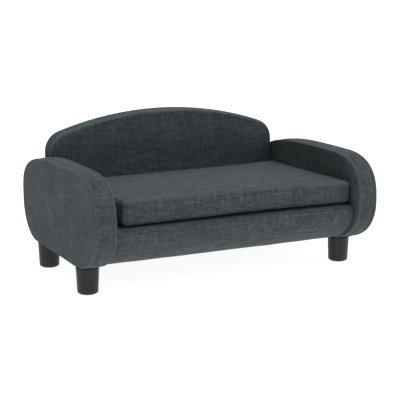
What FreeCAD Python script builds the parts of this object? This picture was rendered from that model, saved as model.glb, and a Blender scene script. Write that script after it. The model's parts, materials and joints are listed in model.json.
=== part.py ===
import FreeCAD, Part
import math
import os

# Pet sofa: a low upholstered sofa on four tapered legs with two rounded side arms, an arched
# backrest, a padded platform and one loose box cushion with a zip in its rear edge.
#
# Millimetres. +X is the sitter's left-to-right as seen from the front, +Y points to the back,
# +Z is up. The origin is on the floor, under the middle of the sofa.

# ---------------------------------------------------------------- driving dimensions
OVERALL_WIDTH = 800.0
OVERALL_DEPTH = 556.0
OVERALL_HEIGHT = 403.0

FABRIC = 1.5           # upholstery cloth and its backing
BOARD = 9.0            # plywood panels
EDGE_FOAM = 5.0        # foam wrapped round panel edges
RUNNING_GAP = 0.3      # between the loose cushion and the sofa

# side arms
ARM_THICKNESS = 56.0
ARM_FACE_FOAM = 6.0
ARM_BOTTOM = 68.0
ARM_TOP = 310.0
ARM_FRONT_LENGTH = 158.0   # length of the rounded front end along Y
ARM_REAR_LENGTH = 338.0    # length of the slope from the flat top down to the rear end
ARM_FRONT_TOP_SHAPE = 2.7  # superellipse exponents: 2 is an ellipse, more is squarer
ARM_FRONT_LOW_SHAPE = 2.15
ARM_REAR_TOP_SHAPE = 3.0
ARM_REAR_RADIUS = 103.0    # lower rear corner
ARM_RAIL_HEIGHT = 28.0
ARM_BLOCK_START = 175.0    # |y| where the end blocks meet the rails

# backrest
BACK_FRONT = 195.0
BACK_THICKNESS = 55.0
BACK_BOTTOM = 72.0
BACK_ARCH_RADIUS = 970.0
BACK_CORNER_RADIUS = 58.0
BACK_FACE_FOAM = 12.0
BACK_RAIL_WIDTH = 45.0

# platform
PLATFORM_TOP = 178.0
PLATFORM_BOTTOM = 72.0
NOSE_CENTRE_Y = -133.0
NOSE_CENTRE_Z = 180.0
NOSE_LENGTH = 124.0
NOSE_EDGE_RADIUS = 14.0
NOSE_SKIN = 4.0
NOSE_LIP_END = -118.0      # where the cloth is stapled under the nose
RIB_THICKNESS = 15.0
RIB_SPACING = 165.0
REAR_RAIL_THICKNESS = 20.0
DUST_COVER = 0.8

# legs
LEG_X = 370.5
LEG_FRONT_Y = -139.0
LEG_REAR_Y = 153.0
LEG_TOP_RADIUS = 29.5
LEG_BOTTOM_RADIUS = 26.5
LEG_EDGE_RADIUS = 3.0
GLIDE_THICKNESS = 2.0
GLIDE_RADIUS = 21.0
STUD_RADIUS = 4.0
STUD_LENGTH = 72.0
STUD_BOTTOM = 35.0

# bolts that join the arms and the backrest to the platform
BOLT_RADIUS = 3.0
BOLT_HEAD_RADIUS = 5.5
BOLT_HEAD_HEIGHT = 3.5
BOLT_SOCKET_ACROSS = 4.0
BOLT_SOCKET_DEPTH = 2.0
BOLT_PAST_NUT = 6.0
BOLT_Z = 140.0
WASHER_RADIUS = 9.0
WASHER_THICKNESS = 1.5
ARM_BOLT_Y = (-150.0, 0.0, 150.0)
BACK_BOLT_X = (-250.0, -82.5, 82.5, 250.0)
HOLE_CLEARANCE = 0.4       # added to a bolt's radius in the parts that it passes through
THREAD_CLEARANCE = 0.05    # radial gap that stands for a thread
NUT_BARREL_WALL = 1.2
NUT_BARREL_LENGTH = 8.0
NUT_FLANGE_THICKNESS = 1.5
BOLT_NUT_FLANGE_RADIUS = 9.0
STUD_NUT_FLANGE_RADIUS = 9.5

# loose cushion
CUSHION_LEFT = -312.0      # it lies against the right arm
CUSHION_RIGHT = 343.0
CUSHION_FRONT = -240.0
CUSHION_BACK = 181.0
CUSHION_HEIGHT = 60.0
CUSHION_CORNER_RADIUS = 14.0
CUSHION_CLOTH = 1.2

# zip in the cushion's rear edge
ZIP_LENGTH = 480.0
ZIP_TAPE_HEIGHT = 13.0
ZIP_TAPE_THICKNESS = 0.8
ZIP_CHAIN_HEIGHT = 4.6
ZIP_CHAIN_THICKNESS = 1.8
SLIDER_LENGTH = 14.0
SLIDER_HEIGHT = 10.0
SLIDER_THICKNESS = 3.4
SLIDER_START = 12.0         # from the zip's left end
SLIDER_GAP = 0.35
SLIDER_EDGE_RADIUS = 0.8
PIVOT_RADIUS = 0.9
PIVOT_EYE_RADIUS = 1.9
PIVOT_CLEARANCE = 0.08
PULL_LENGTH = 22.0
PULL_HEIGHT = 6.4
PULL_THICKNESS = 1.6
PULL_TIP_ROUNDING = 0.8      # tip corner radius as a share of half the pull's height

# ---------------------------------------------------------------- derived dimensions
ARM_OUTER_X = OVERALL_WIDTH / 2
ARM_INNER_X = ARM_OUTER_X - ARM_THICKNESS
ARM_HALF_HEIGHT = (ARM_TOP - ARM_BOTTOM) / 2
ARM_MIDDLE_Z = (ARM_TOP + ARM_BOTTOM) / 2
ARM_END_Y = OVERALL_DEPTH / 2
ARM_FRONT_Y = ARM_FRONT_LENGTH - ARM_END_Y
ARM_REAR_Y = ARM_END_Y - ARM_REAR_LENGTH
QUARTER_POINTS = 14          # points that a squared quarter curve is drawn through
WOOD_INSET = FABRIC + EDGE_FOAM
BACK_REAR = BACK_FRONT + BACK_THICKNESS
NOSE_HEIGHT = NOSE_CENTRE_Z - PLATFORM_BOTTOM
DECK_TOP = PLATFORM_TOP - WOOD_INSET
DECK_BOTTOM = DECK_TOP - BOARD
RIB_INSET = WOOD_INSET + NOSE_SKIN
RIB_END_Y = BACK_FRONT - REAR_RAIL_THICKNESS
CUSHION_BOTTOM = PLATFORM_TOP + RUNNING_GAP
ZIP_Z = CUSHION_BOTTOM + CUSHION_HEIGHT / 2
ZIP_FACE_Y = CUSHION_BACK
ZIP_MIDDLE_X = (CUSHION_LEFT + CUSHION_RIGHT) / 2
ZIP_LEFT = ZIP_MIDDLE_X - ZIP_LENGTH / 2
ZIP_RIGHT = ZIP_MIDDLE_X + ZIP_LENGTH / 2
SLIDER_START_X = ZIP_LEFT + SLIDER_START

PARTS_FOLDER = "parts"
FAR = 2000.0               # longer than anything in the model


# ---------------------------------------------------------------- helpers
def point(x, y, z):
    return FreeCAD.Vector(x, y, z)


def box(low, high):
    """Box between its lowest and highest corners."""
    size = [b - a for a, b in zip(low, high)]
    return Part.makeBox(size[0], size[1], size[2], point(*low))


def rod(radius, start, end):
    """Solid cylinder between two points."""
    axis = point(*end) - point(*start)
    return Part.makeCylinder(radius, axis.Length, point(*start), axis)


def hexagon_prism(across, start, end):
    """Hexagonal prism between two points, measured across its flats."""
    axis = point(*end) - point(*start)
    side = across / math.sqrt(3)
    sideways = axis.cross(point(0, 0, 1)) if abs(axis.z) < axis.Length / 2 else point(1, 0, 0)
    sideways.normalize()
    upward = axis.cross(sideways)
    upward.normalize()
    corners = []
    for step in range(6):
        angle = math.radians(60 * step)
        offset = sideways * (side * math.cos(angle)) + upward * (side * math.sin(angle))
        corners.append(point(*start) + offset)
    corners.append(corners[0])
    return Part.Face(Part.makePolygon(corners)).extrude(axis)


def slab(wire, direction):
    """Closed wire filled and extruded along a vector."""
    return Part.Face(wire).extrude(point(*direction))


def ellipse_arc(centre, normal, long_axis, major, minor, start_deg, end_deg):
    """Arc of an ellipse; angles run from the long axis by the right-hand rule about the normal."""
    ellipse = Part.Ellipse()
    ellipse.Center = point(*centre)
    ellipse.MajorRadius = major
    ellipse.MinorRadius = minor
    ellipse.Axis = point(*normal)
    ellipse.XAxis = point(*long_axis)
    return Part.ArcOfEllipse(ellipse, math.radians(start_deg), math.radians(end_deg)).toShape()


def mirrored(shape):
    """The same shape on the other side of the YZ plane."""
    return shape.mirror(point(0, 0, 0), point(1, 0, 0))


def cut_all(shape, tools):
    for tool in tools:
        shape = shape.cut(tool)
    return shape


def save(name, *solids):
    """Write one node: a single solid, or a group of separate solids."""
    shape = solids[0] if len(solids) == 1 else Part.makeCompound(list(solids))
    shape.exportStep(os.path.join(PARTS_FOLDER, name + ".step"))


# ---------------------------------------------------------------- outlines
def quarter_curve(x, centre_y, length, height, shape):
    """Quarter superellipse in a YZ plane, from the end of its length to the end of its height."""
    points = []
    for step in range(QUARTER_POINTS + 1):
        angle = math.pi / 2 * step / QUARTER_POINTS
        along = max(math.cos(angle), 0.0) ** (2 / shape)
        across = math.sin(angle) ** (2 / shape)
        points.append(point(x, centre_y + length * along, ARM_MIDDLE_Z + height * across))
    curve = Part.BSplineCurve()
    curve.interpolate(
        Points=points,
        InitialTangent=point(0, 0, math.copysign(1, height)),
        FinalTangent=point(0, -math.copysign(1, length), 0))
    return curve.toShape()


def arm_outline(inset, x):
    """Side view of an arm at a given x: squarish round front, top that slopes down to the rear."""
    front = inset - ARM_FRONT_LENGTH
    rear = ARM_REAR_LENGTH - inset
    height = ARM_HALF_HEIGHT - inset
    radius = ARM_REAR_RADIUS - inset
    top = ARM_TOP - inset
    bottom = ARM_BOTTOM + inset
    end = ARM_END_Y - inset
    corner_y = ARM_END_Y - ARM_REAR_RADIUS
    corner_z = ARM_BOTTOM + ARM_REAR_RADIUS
    slant = math.sqrt(0.5) * radius
    edges = [
        Part.makeLine(point(x, ARM_REAR_Y, top), point(x, ARM_FRONT_Y, top)),
        quarter_curve(x, ARM_FRONT_Y, front, height, ARM_FRONT_TOP_SHAPE),
        quarter_curve(x, ARM_FRONT_Y, front, -height, ARM_FRONT_LOW_SHAPE),
        Part.makeLine(point(x, ARM_FRONT_Y, bottom), point(x, corner_y, bottom)),
        Part.Arc(
            point(x, corner_y, bottom),
            point(x, corner_y + slant, corner_z - slant),
            point(x, end, corner_z),
        ).toShape(),
        Part.makeLine(point(x, end, corner_z), point(x, end, ARM_MIDDLE_Z)),
        quarter_curve(x, ARM_REAR_Y, rear, height, ARM_REAR_TOP_SHAPE),
    ]
    return Part.Wire(Part.__sortEdges__(edges))


def back_outline(inset, y):
    """Front view of the backrest at a given y: wide arch, round shoulders, straight sides."""
    half = ARM_INNER_X - inset
    top = OVERALL_HEIGHT - inset
    bottom = BACK_BOTTOM + inset
    arch = BACK_ARCH_RADIUS - inset
    corner = BACK_CORNER_RADIUS - inset
    arch_z = top - arch
    corner_x = half - corner
    corner_z = arch_z + math.sqrt((arch - corner) ** 2 - corner_x ** 2)
    meet = math.atan2(corner_x, corner_z - arch_z)
    shoulder = (math.pi / 2 + meet) / 2

    def on_arch(sign):
        return point(sign * arch * math.sin(meet), y, arch_z + arch * math.cos(meet))

    def on_shoulder(sign):
        return point(
            sign * (corner_x + corner * math.sin(shoulder)),
            y,
            corner_z + corner * math.cos(shoulder),
        )

    edges = [
        Part.Arc(on_arch(-1), point(0, y, top), on_arch(1)).toShape(),
        Part.Arc(on_arch(1), on_shoulder(1), point(half, y, corner_z)).toShape(),
        Part.makeLine(point(half, y, corner_z), point(half, y, bottom)),
        Part.makeLine(point(half, y, bottom), point(-half, y, bottom)),
        Part.makeLine(point(-half, y, bottom), point(-half, y, corner_z)),
        Part.Arc(point(-half, y, corner_z), on_shoulder(-1), on_arch(-1)).toShape(),
    ]
    return Part.Wire(Part.__sortEdges__(edges))


def platform_block(inset, low_x, high_x):
    """Solid with the platform's side profile: flat top, rounded front edge, curved nose."""
    top = PLATFORM_TOP - inset
    bottom = PLATFORM_BOTTOM + inset
    length = NOSE_LENGTH - inset
    height = NOSE_HEIGHT - inset
    rise = (top - NOSE_CENTRE_Z) / height
    start = 180 - math.degrees(math.asin(rise))
    front_y = NOSE_CENTRE_Y + length * math.cos(math.radians(start))
    edges = [
        Part.makeLine(point(low_x, BACK_FRONT, top), point(low_x, front_y, top)),
        ellipse_arc((low_x, NOSE_CENTRE_Y, NOSE_CENTRE_Z), (1, 0, 0), (0, 1, 0), length, height,
                    start, 270),
        Part.makeLine(point(low_x, NOSE_CENTRE_Y, bottom), point(low_x, BACK_FRONT, bottom)),
        Part.makeLine(point(low_x, BACK_FRONT, bottom), point(low_x, BACK_FRONT, top)),
    ]
    block = slab(Part.Wire(Part.__sortEdges__(edges)), (high_x - low_x, 0, 0))
    front_edges = [
        edge for edge in block.Edges
        if abs(edge.CenterOfMass.y - front_y) < 0.01 and abs(edge.CenterOfMass.z - top) < 0.01
    ]
    return block.makeFillet(NOSE_EDGE_RADIUS - inset, front_edges)


def cushion_block(inset, bottom, top):
    """Box cushion shape with round vertical corners."""
    block = box(
        (CUSHION_LEFT + inset, CUSHION_FRONT + inset, bottom),
        (CUSHION_RIGHT - inset, CUSHION_BACK - inset, top))
    upright = [edge for edge in block.Edges if abs(edge.tangentAt(edge.FirstParameter).z) > 0.5]
    return block.makeFillet(CUSHION_CORNER_RADIUS - inset, upright)


# ---------------------------------------------------------------- fasteners
def bolt(start, end):
    """Button-headed bolt with a hexagon socket; start is under the head."""
    direction = point(*end) - point(*start)
    direction.normalize()
    under_head = point(*start)
    head_top = under_head - direction * BOLT_HEAD_HEIGHT
    socket_floor = head_top + direction * BOLT_SOCKET_DEPTH
    head = Part.makeCylinder(BOLT_HEAD_RADIUS, BOLT_HEAD_HEIGHT, head_top, direction)
    rim = [edge for edge in head.Edges if edge.CenterOfMass.distanceToPoint(head_top) < 0.01]
    head = head.makeFillet(BOLT_HEAD_HEIGHT / 3, rim[:1])
    socket = hexagon_prism(BOLT_SOCKET_ACROSS, tuple(head_top), tuple(socket_floor))
    return head.fuse(rod(BOLT_RADIUS, start, end)).cut(socket).removeSplitter()


def washer(start, direction):
    """Flat washer that begins at start and is as thick along the direction."""
    outer = Part.makeCylinder(WASHER_RADIUS, WASHER_THICKNESS, point(*start), direction)
    hole = Part.makeCylinder(BOLT_RADIUS + HOLE_CLEARANCE, WASHER_THICKNESS, point(*start), direction)
    return outer.cut(hole)


def tee_nut(face, direction, thread_radius, flange_radius):
    """Tee nut: its flange stands on a face, and its barrel goes into the wood along the direction."""
    axis = point(*direction)
    origin = point(*face)
    barrel_radius = thread_radius + NUT_BARREL_WALL
    top = origin - axis * NUT_FLANGE_THICKNESS
    length = NUT_FLANGE_THICKNESS + NUT_BARREL_LENGTH
    flange = Part.makeCylinder(flange_radius, NUT_FLANGE_THICKNESS, top, axis)
    barrel = Part.makeCylinder(barrel_radius, length, top, axis)
    thread = Part.makeCylinder(thread_radius + THREAD_CLEARANCE, length, top, axis)
    return flange.fuse(barrel).cut(thread).removeSplitter()


def leg_positions():
    """Leg centres, in the order front left, front right, rear left, rear right."""
    return [
        (-LEG_X, LEG_FRONT_Y),
        (LEG_X, LEG_FRONT_Y),
        (-LEG_X, LEG_REAR_Y),
        (LEG_X, LEG_REAR_Y),
    ]


def arm_rail_top():
    """Height of the upper face of an arm's bottom rail, where the leg's tee nut sits."""
    return ARM_BOTTOM + WOOD_INSET + ARM_RAIL_HEIGHT


def stud_holes(radius):
    """Holes for the leg studs through the parts at the bottom of the arms."""
    return [rod(radius, (x, y, 0), (x, y, arm_rail_top())) for x, y in leg_positions()]


def arm_bolt_holes(radius):
    """Holes for the arm bolts on the left side and the right side."""
    holes = []
    for side in (-1, 1):
        for y in ARM_BOLT_Y:
            holes.append(rod(radius, (side * FAR, y, BOLT_Z), (side * 100, y, BOLT_Z)))
    return holes


def back_bolt_holes(radius):
    return [rod(radius, (x, 0, BOLT_Z), (x, FAR, BOLT_Z)) for x in BACK_BOLT_X]


# ---------------------------------------------------------------- arms
def arm_layer(inset, outer_x, inner_x):
    """One full-profile layer of the left arm between two x positions, measured as positive."""
    return slab(arm_outline(inset, -outer_x), (outer_x - inner_x, 0, 0))


def arm_core(low_y, high_y, low_z, high_z):
    """Wood between the two panels of the left arm, trimmed to a range of y and z."""
    outer_x = ARM_OUTER_X - FABRIC - ARM_FACE_FOAM - BOARD
    inner_x = ARM_INNER_X + FABRIC + ARM_FACE_FOAM + BOARD
    window = box((-FAR, low_y, low_z), (0, high_y, high_z))
    return arm_layer(WOOD_INSET, outer_x, inner_x).common(window)


def make_left_arm():
    """All pieces of the left arm, outside to inside."""
    outer_foam_x = ARM_OUTER_X - FABRIC
    outer_panel_x = outer_foam_x - ARM_FACE_FOAM
    inner_foam_x = ARM_INNER_X + FABRIC
    inner_panel_x = inner_foam_x + ARM_FACE_FOAM
    bolt_holes = arm_bolt_holes(BOLT_RADIUS + HOLE_CLEARANCE)
    nut_holes = arm_bolt_holes(BOLT_RADIUS + NUT_BARREL_WALL)
    stud_clearance = stud_holes(STUD_RADIUS + HOLE_CLEARANCE)
    nut_clearance = stud_holes(STUD_RADIUS + NUT_BARREL_WALL)
    rail_top = arm_rail_top()
    upper_rail_bottom = ARM_TOP - WOOD_INSET - ARM_RAIL_HEIGHT
    block = ARM_BLOCK_START
    band_layer = arm_layer(0, outer_foam_x, inner_foam_x)
    foam_layer = arm_layer(FABRIC, outer_panel_x, inner_panel_x)
    return {
        "outer_cover": arm_layer(0, ARM_OUTER_X, outer_foam_x),
        "outer_foam": arm_layer(FABRIC, outer_foam_x, outer_panel_x),
        "outer_panel": arm_layer(WOOD_INSET, outer_panel_x, outer_panel_x - BOARD),
        "inner_panel": cut_all(arm_layer(WOOD_INSET, inner_panel_x + BOARD, inner_panel_x), nut_holes),
        "inner_foam": cut_all(arm_layer(FABRIC, inner_panel_x, inner_foam_x), bolt_holes),
        "inner_cover": cut_all(arm_layer(0, inner_foam_x, ARM_INNER_X), bolt_holes),
        "band_cover": cut_all(
            band_layer.cut(arm_layer(FABRIC, ARM_OUTER_X, ARM_INNER_X)), stud_clearance),
        "edge_foam": cut_all(
            foam_layer.cut(arm_layer(WOOD_INSET, ARM_OUTER_X, ARM_INNER_X)), stud_clearance),
        "front_block": arm_core(-FAR, -block, 0, FAR),
        "rear_block": arm_core(block, FAR, 0, FAR),
        "top_rail": arm_core(-block, block, upper_rail_bottom, FAR),
        "bottom_rail": cut_all(arm_core(-block, block, 0, rail_top), nut_clearance),
    }


def write_arms():
    for name, shape in make_left_arm().items():
        save("left_arm_" + name, shape)
        save("right_arm_" + name, mirrored(shape))


# ---------------------------------------------------------------- backrest
def back_layer(inset, front, rear):
    """One full-outline layer of the backrest between two y positions."""
    return slab(back_outline(inset, front), (0, rear - front, 0))


def write_backrest():
    foam_front = BACK_FRONT + FABRIC
    panel_front = foam_front + BACK_FACE_FOAM
    core_front = panel_front + BOARD
    cover_rear = BACK_REAR - FABRIC
    core_rear = cover_rear - BOARD
    bolt_holes = back_bolt_holes(BOLT_RADIUS + HOLE_CLEARANCE)
    nut_holes = back_bolt_holes(BOLT_RADIUS + NUT_BARREL_WALL)

    save("back_front_cover", cut_all(back_layer(0, BACK_FRONT, foam_front), bolt_holes))
    save("back_front_foam", cut_all(back_layer(FABRIC, foam_front, panel_front), bolt_holes))
    save("back_front_panel", cut_all(back_layer(WOOD_INSET, panel_front, core_front), nut_holes))
    save("back_rear_panel", back_layer(WOOD_INSET, core_rear, cover_rear))
    save("back_rear_cover", back_layer(0, cover_rear, BACK_REAR))
    save("back_band_cover", back_layer(0, foam_front, cover_rear).cut(
        back_layer(FABRIC, foam_front, cover_rear)))
    save("back_edge_foam", back_layer(FABRIC, panel_front, cover_rear).cut(
        back_layer(WOOD_INSET, panel_front, cover_rear)))

    core = back_layer(WOOD_INSET, core_front, core_rear)
    opening = back_layer(WOOD_INSET + BACK_RAIL_WIDTH, core_front, core_rear)
    frame = core.cut(opening)
    shoulder_z = OVERALL_HEIGHT - BACK_ARCH_RADIUS + math.sqrt(
        (BACK_ARCH_RADIUS - BACK_CORNER_RADIUS) ** 2 - (ARM_INNER_X - BACK_CORNER_RADIUS) ** 2)
    bottom_rail_top = BACK_BOTTOM + WOOD_INSET + BACK_RAIL_WIDTH
    save("back_arch_rail", frame.common(box((-FAR, 0, shoulder_z), (FAR, FAR, FAR))))
    save("back_bottom_rail", frame.common(box((-FAR, 0, 0), (FAR, FAR, bottom_rail_top))))
    left_post = frame.common(box((-FAR, 0, bottom_rail_top), (0, FAR, shoulder_z)))
    save("back_posts", left_post, mirrored(left_post))


# ---------------------------------------------------------------- platform
def platform_shell(outer_inset, inner_inset, lip_end):
    """Layer that covers the deck, wraps round the nose and ends under it."""
    half = ARM_INNER_X
    shell = platform_block(outer_inset, -half, half).cut(platform_block(inner_inset, -half, half))
    return shell.cut(box((-FAR, lip_end, 0), (FAR, FAR, DECK_BOTTOM)))


def write_platform():
    half = ARM_INNER_X
    below_deck = box((-FAR, -FAR, 0), (FAR, RIB_END_Y, DECK_BOTTOM))
    deck_zone = box((-FAR, -FAR, DECK_BOTTOM), (FAR, BACK_FRONT, FAR))
    bolt_hole_radius = BOLT_RADIUS + HOLE_CLEARANCE

    save("platform_cover", platform_shell(0, FABRIC, NOSE_LIP_END))
    save("platform_foam", platform_shell(FABRIC, WOOD_INSET, NOSE_CENTRE_Y))
    save("platform_deck_board", platform_block(WOOD_INSET, -half, half).common(deck_zone))
    nose = platform_shell(WOOD_INSET, RIB_INSET, NOSE_CENTRE_Y)
    save("platform_nose_skin", nose.common(below_deck))

    def rib(low_x):
        return platform_block(RIB_INSET, low_x, low_x + RIB_THICKNESS).common(below_deck)

    end_rib = cut_all(rib(-half), arm_bolt_holes(bolt_hole_radius))
    middle = -RIB_THICKNESS / 2
    cross_ribs = [rib(middle + step * RIB_SPACING) for step in (-1, 0, 1)]
    save("platform_ribs", end_rib, *cross_ribs, mirrored(end_rib))

    rib_bottom = PLATFORM_BOTTOM + RIB_INSET
    rail = box((-half, RIB_END_Y, rib_bottom), (half, BACK_FRONT, DECK_BOTTOM))
    save("platform_rear_rail", cut_all(rail, back_bolt_holes(bolt_hole_radius)))
    save("dust_cover", box(
        (-half, NOSE_CENTRE_Y, rib_bottom - DUST_COVER), (half, BACK_FRONT, rib_bottom)))


# ---------------------------------------------------------------- legs
def make_leg(x, y):
    """Tapered round leg with a rounded foot edge and a threaded hole in its top."""
    leg = Part.makeCone(
        LEG_BOTTOM_RADIUS, LEG_TOP_RADIUS, ARM_BOTTOM - GLIDE_THICKNESS, point(x, y, GLIDE_THICKNESS))
    foot_edge = [edge for edge in leg.Edges if abs(edge.CenterOfMass.z - GLIDE_THICKNESS) < 0.01]
    leg = leg.makeFillet(LEG_EDGE_RADIUS, foot_edge)
    hole = rod(STUD_RADIUS + THREAD_CLEARANCE, (x, y, STUD_BOTTOM), (x, y, ARM_BOTTOM))
    return leg.cut(hole)


def write_legs():
    names = ("front_left_leg", "front_right_leg", "rear_left_leg", "rear_right_leg")
    for name, (x, y) in zip(names, leg_positions()):
        save(name, make_leg(x, y))
    save("leg_studs", *[
        rod(STUD_RADIUS, (x, y, STUD_BOTTOM), (x, y, STUD_BOTTOM + STUD_LENGTH))
        for x, y in leg_positions()])
    save("leg_tee_nuts", *[
        tee_nut((x, y, arm_rail_top()), (0, 0, -1), STUD_RADIUS, STUD_NUT_FLANGE_RADIUS)
        for x, y in leg_positions()])
    save("leg_glides", *[
        rod(GLIDE_RADIUS, (x, y, 0), (x, y, GLIDE_THICKNESS)) for x, y in leg_positions()])


# ---------------------------------------------------------------- joining hardware
def write_joining_hardware():
    """Bolts from inside the platform into tee nuts in the arms and the backrest."""
    rib_face = ARM_INNER_X - RIB_THICKNESS
    arm_nut_face = ARM_INNER_X + FABRIC + ARM_FACE_FOAM + BOARD
    back_nut_face = BACK_FRONT + FABRIC + BACK_FACE_FOAM + BOARD
    arm_bolts = []
    back_bolts = []
    washers = []
    nuts = []
    for side in (-1, 1):
        for y in ARM_BOLT_Y:
            washers.append(washer((side * rib_face, y, BOLT_Z), point(-side, 0, 0)))
            arm_bolts.append(bolt(
                (side * (rib_face - WASHER_THICKNESS), y, BOLT_Z),
                (side * (arm_nut_face + BOLT_PAST_NUT), y, BOLT_Z)))
            nuts.append(tee_nut(
                (side * arm_nut_face, y, BOLT_Z), (-side, 0, 0), BOLT_RADIUS, BOLT_NUT_FLANGE_RADIUS))
    for x in BACK_BOLT_X:
        washers.append(washer((x, RIB_END_Y, BOLT_Z), point(0, -1, 0)))
        back_bolts.append(bolt(
            (x, RIB_END_Y - WASHER_THICKNESS, BOLT_Z), (x, back_nut_face + BOLT_PAST_NUT, BOLT_Z)))
        nuts.append(tee_nut((x, back_nut_face, BOLT_Z), (0, -1, 0), BOLT_RADIUS, BOLT_NUT_FLANGE_RADIUS))
    save("arm_bolts", *arm_bolts)
    save("back_bolts", *back_bolts)
    save("bolt_washers", *washers)
    save("bolt_tee_nuts", *nuts)


# ---------------------------------------------------------------- cushion
def write_cushion():
    """Foam block in a cover sewn from a top panel, a boxing strip and a base panel."""
    bottom = CUSHION_BOTTOM
    top = bottom + CUSHION_HEIGHT
    cloth = CUSHION_CLOTH
    save("cushion_top_cover", cushion_block(0, top - cloth, top))
    save("cushion_base_cover", cushion_block(0, bottom, bottom + cloth))
    save("cushion_boxing", cushion_block(0, bottom + cloth, top - cloth).cut(
        cushion_block(cloth, bottom + cloth, top - cloth)))
    save("cushion_foam", cushion_block(cloth, bottom + cloth, top - cloth))


# ---------------------------------------------------------------- zip
def write_zip():
    """Closed zip along the cushion's rear edge, with its slider and a hinged pull."""
    tape_y = ZIP_FACE_Y + ZIP_TAPE_THICKNESS
    chain_y = tape_y + ZIP_CHAIN_THICKNESS
    half_tape = ZIP_TAPE_HEIGHT
    half_chain = ZIP_CHAIN_HEIGHT / 2
    tapes = [
        box((ZIP_LEFT, ZIP_FACE_Y, ZIP_Z), (ZIP_RIGHT, tape_y, ZIP_Z + half_tape)),
        box((ZIP_LEFT, ZIP_FACE_Y, ZIP_Z - half_tape), (ZIP_RIGHT, tape_y, ZIP_Z)),
    ]
    save("zip_tapes", *tapes)
    save("zip_chain", box(
        (ZIP_LEFT, tape_y, ZIP_Z - half_chain), (ZIP_RIGHT, chain_y, ZIP_Z + half_chain)))

    slider_y = tape_y + SLIDER_GAP
    start = SLIDER_START_X - SLIDER_LENGTH / 2
    end = SLIDER_START_X + SLIDER_LENGTH / 2
    half_slider = SLIDER_HEIGHT / 2
    outer_y = slider_y + SLIDER_THICKNESS
    body = box((start, slider_y, ZIP_Z - half_slider), (end, outer_y, ZIP_Z + half_slider))
    outer_edges = [
        edge for edge in body.Edges
        if abs(edge.CenterOfMass.y - outer_y) < 0.01]
    body = body.makeFillet(SLIDER_EDGE_RADIUS, outer_edges)
    channel = box(
        (start, slider_y, ZIP_Z - half_chain - SLIDER_GAP),
        (end, chain_y + SLIDER_GAP, ZIP_Z + half_chain + SLIDER_GAP))
    pivot_y = slider_y + SLIDER_THICKNESS + PIVOT_EYE_RADIUS + SLIDER_GAP
    save("zip_slider", body.cut(channel).fuse(make_bridge(pivot_y)).removeSplitter())
    save("zip_pull", make_pull(pivot_y))


def upright(radius, pivot_y, low, high):
    """Vertical cylinder about the pull's pivot."""
    return rod(radius, (SLIDER_START_X, pivot_y, low), (SLIDER_START_X, pivot_y, high))


def make_bridge(pivot_y):
    """Two ears on the slider with the pivot pin of the pull between them."""
    root_y = pivot_y - PIVOT_EYE_RADIUS - 2 * SLIDER_GAP
    ear_gap = PULL_HEIGHT / 2 + SLIDER_GAP
    ear_end = SLIDER_HEIGHT / 2
    bridge = upright(PIVOT_RADIUS, pivot_y, ZIP_Z - ear_end, ZIP_Z + ear_end)
    for sign in (-1, 1):
        low, high = sorted((ZIP_Z + sign * ear_gap, ZIP_Z + sign * ear_end))
        post = box(
            (SLIDER_START_X - PIVOT_EYE_RADIUS, root_y, low),
            (SLIDER_START_X + PIVOT_EYE_RADIUS, pivot_y, high))
        bridge = bridge.fuse(post).fuse(upright(PIVOT_EYE_RADIUS, pivot_y, low, high))
    return bridge


def make_pull(pivot_y):
    """Flat pull tab whose eye turns on the slider's pivot pin."""
    half_height = PULL_HEIGHT / 2
    half_thickness = PULL_THICKNESS / 2
    low = ZIP_Z - half_height
    high = ZIP_Z + half_height
    tip_x = SLIDER_START_X + PULL_LENGTH
    tab = box((SLIDER_START_X, pivot_y - half_thickness, low), (tip_x, pivot_y + half_thickness, high))
    tip = [
        edge for edge in tab.Edges
        if abs(edge.CenterOfMass.x - tip_x) < 0.01
        and abs(edge.tangentAt(edge.FirstParameter).y) > 0.5]
    tab = tab.makeFillet(half_height * PULL_TIP_ROUNDING, tip)
    eye = upright(PIVOT_EYE_RADIUS, pivot_y, low, high)
    bore = upright(PIVOT_RADIUS + PIVOT_CLEARANCE, pivot_y, low, high)
    return tab.fuse(eye).cut(bore).removeSplitter()


# ---------------------------------------------------------------- build
os.makedirs(PARTS_FOLDER, exist_ok=True)
write_arms()
write_backrest()
write_platform()
write_legs()
write_joining_hardware()
write_cushion()
write_zip()
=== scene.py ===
import json
import math
import random

import bmesh
import bpy
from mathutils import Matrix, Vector, noise


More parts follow.
